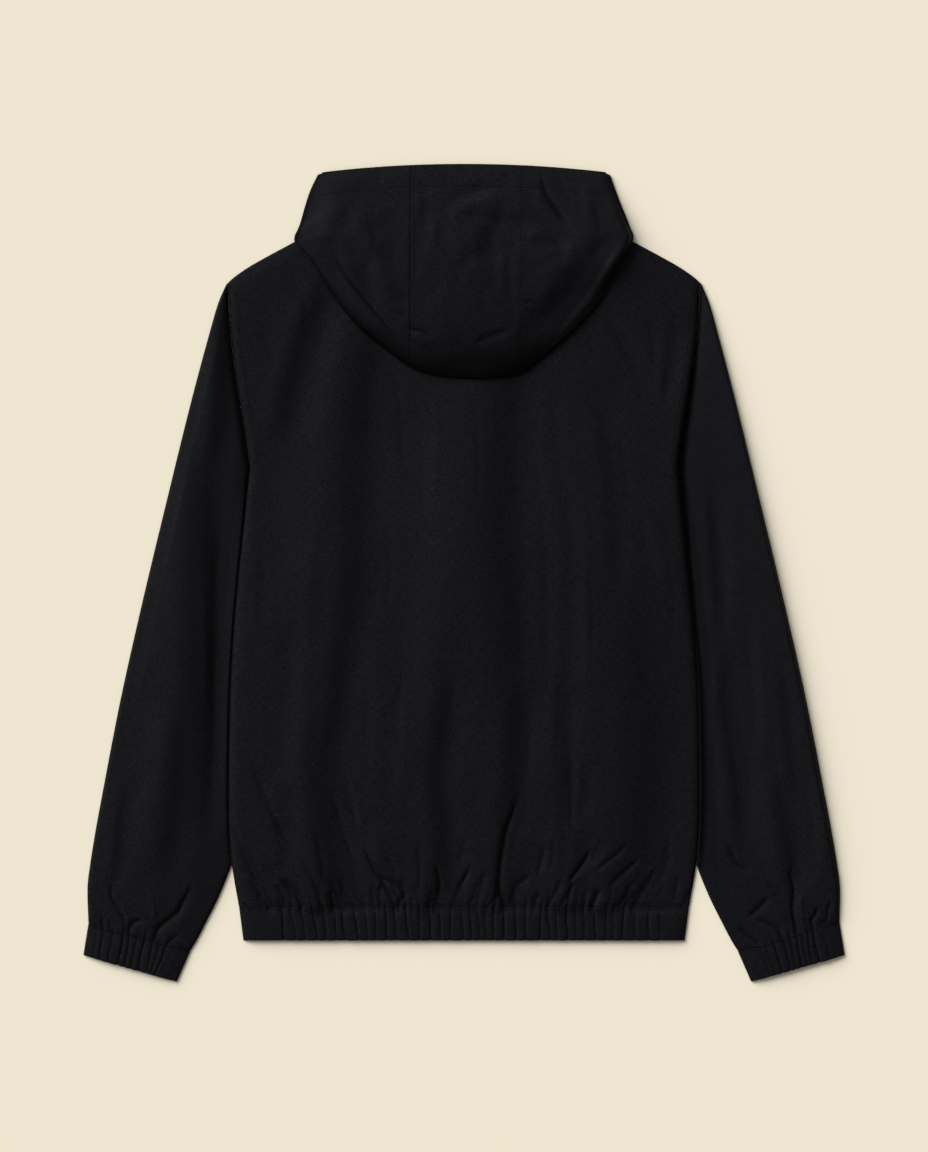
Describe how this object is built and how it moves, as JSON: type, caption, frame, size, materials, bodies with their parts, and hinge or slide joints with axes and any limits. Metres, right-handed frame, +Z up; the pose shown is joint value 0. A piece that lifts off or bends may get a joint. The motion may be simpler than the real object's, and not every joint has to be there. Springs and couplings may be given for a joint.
{
  "type": "hooded windbreaker jacket laid flat",
  "caption": "Hooded zip windbreaker laid flat on its front: plain back, set-in sleeves with gathered elastic cuffs, gathered hem band, panelled hood turned back over the shoulders.",
  "frame": {"origin": "middle of the jacket's outline, on the surface that it lies on", "axes": "+Z up from that surface, through the back; +Y towards the hood; +X towards the wearer's right sleeve, as the jacket lies face down"},
  "size_m": [0.761, 0.8173, 0.0111],
  "materials": {
    "shell_cloth": "matt, near-black, fine plain-weave windproof cloth with a slight sheen",
    "zip_tape": "black woven zip tape",
    "zip_metal": "black lacquered metal, half matt"
  },
  "bodies": {
    "root": {"back": "shell_cloth", "front_left": "shell_cloth", "front_right": "shell_cloth", "sleeve_left": "shell_cloth", "sleeve_right": "shell_cloth", "cuff_left": "shell_cloth", "cuff_right": "shell_cloth", "hem_band": "shell_cloth", "hood_middle": "shell_cloth", "hood_left": "shell_cloth", "hood_right": "shell_cloth", "zip_tape_left": "zip_tape", "zip_tape_right": "zip_tape", "zip_chain": "zip_metal", "zip_slider": "zip_metal"}
  },
  "joints": []
}
